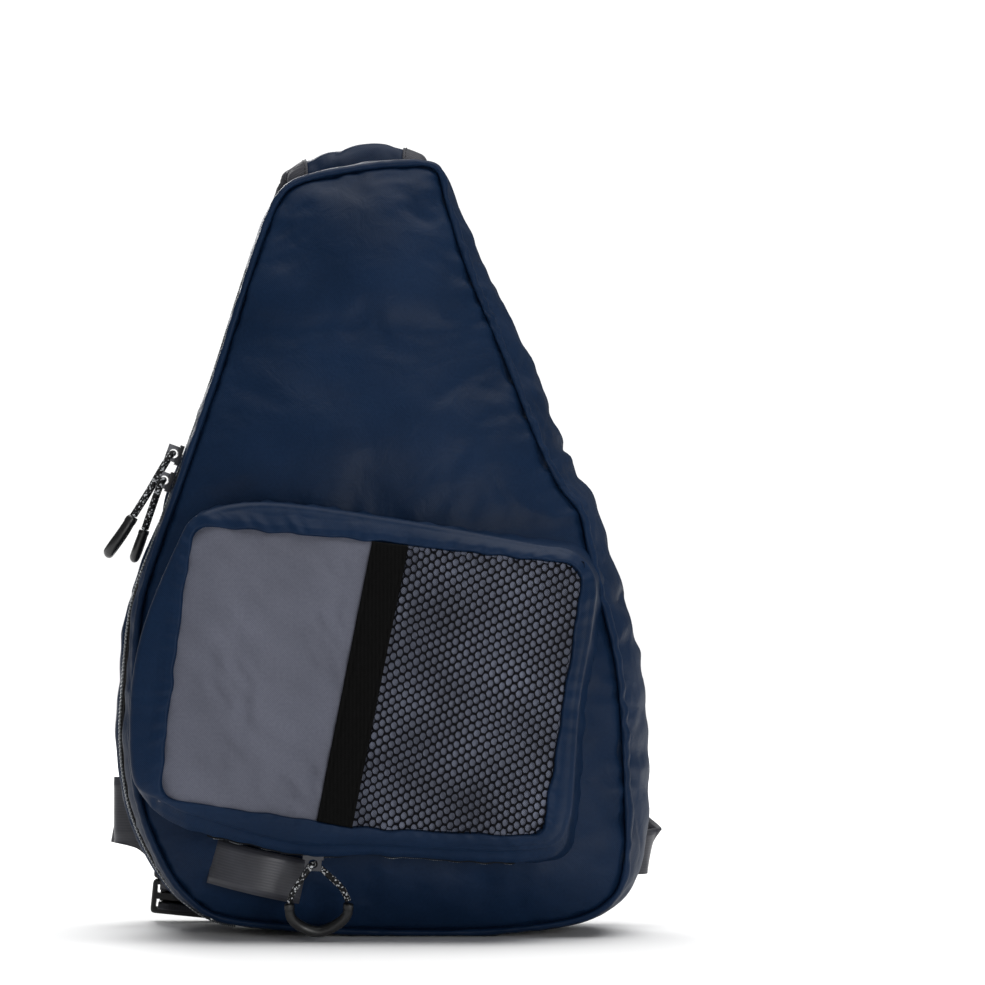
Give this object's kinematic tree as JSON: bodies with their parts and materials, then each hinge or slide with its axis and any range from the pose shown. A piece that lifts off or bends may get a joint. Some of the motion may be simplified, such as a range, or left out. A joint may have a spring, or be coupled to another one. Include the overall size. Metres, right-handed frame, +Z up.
{
  "type": "fishing tackle sling bag",
  "caption": "Teardrop single-strap sling bag standing on its base, with a zipped front pocket of cloth and net, a padded back and side-release buckles.",
  "frame": {"origin": "on the floor, in the flat of the pressed base, under the middle of the bag's width", "axes": "+Z up the bag, front pocket towards -Y, shoulder strap and padded back towards +Y, +X to the right seen from the front"},
  "size_m": [0.3034, 0.193, 0.4346],
  "materials": {
    "navy_polyester": "coated polyester, soft sheen",
    "grey_polyester": "coated polyester, matt",
    "pocket_lining": "plain woven lining",
    "black_net": "knitted hexagonal net",
    "black_air_mesh": "padded air mesh",
    "black_tape": "ribbed woven tape",
    "grey_webbing": "woven webbing",
    "grey_binding": "grosgrain binding tape",
    "zipper_tape": "coil zipper",
    "slider_metal": "black lacquered slider",
    "black_acetal": "moulded buckle",
    "grip_plastic": "moulded grip",
    "pull_cord": "braided cord with white flecks"
  },
  "bodies": {
    "root": {"body_shell": "navy_polyester", "main_zipper": "zipper_tape", "back_panel": "black_air_mesh", "pocket_shell": "navy_polyester", "pocket_zipper": "zipper_tape", "pocket_grey_panel": "grey_polyester", "pocket_black_tape": "black_tape", "pocket_lining": "pocket_lining", "pocket_net": "black_net", "pocket_web_loop": "grey_webbing", "strap_pad": "navy_polyester", "strap_binding": "grey_binding", "strap_web_38": "grey_webbing", "buckle_38_socket": "black_acetal", "buckle_38_plug": "black_acetal", "base_web_38": "grey_webbing", "strap_web_25": "grey_webbing", "buckle_25_socket": "black_acetal", "buckle_25_plug": "black_acetal", "base_web_25": "grey_webbing", "side_slider_upper": "slider_metal", "side_slider_lower": "slider_metal", "pocket_slider": "slider_metal", "side_pull_cord_upper": "pull_cord", "side_pull_grip_upper": "grip_plastic", "side_pull_cord_lower": "pull_cord", "side_pull_grip_lower": "grip_plastic", "pocket_pull_cord": "pull_cord", "pocket_pull_grip": "grip_plastic"}
  },
  "joints": []
}
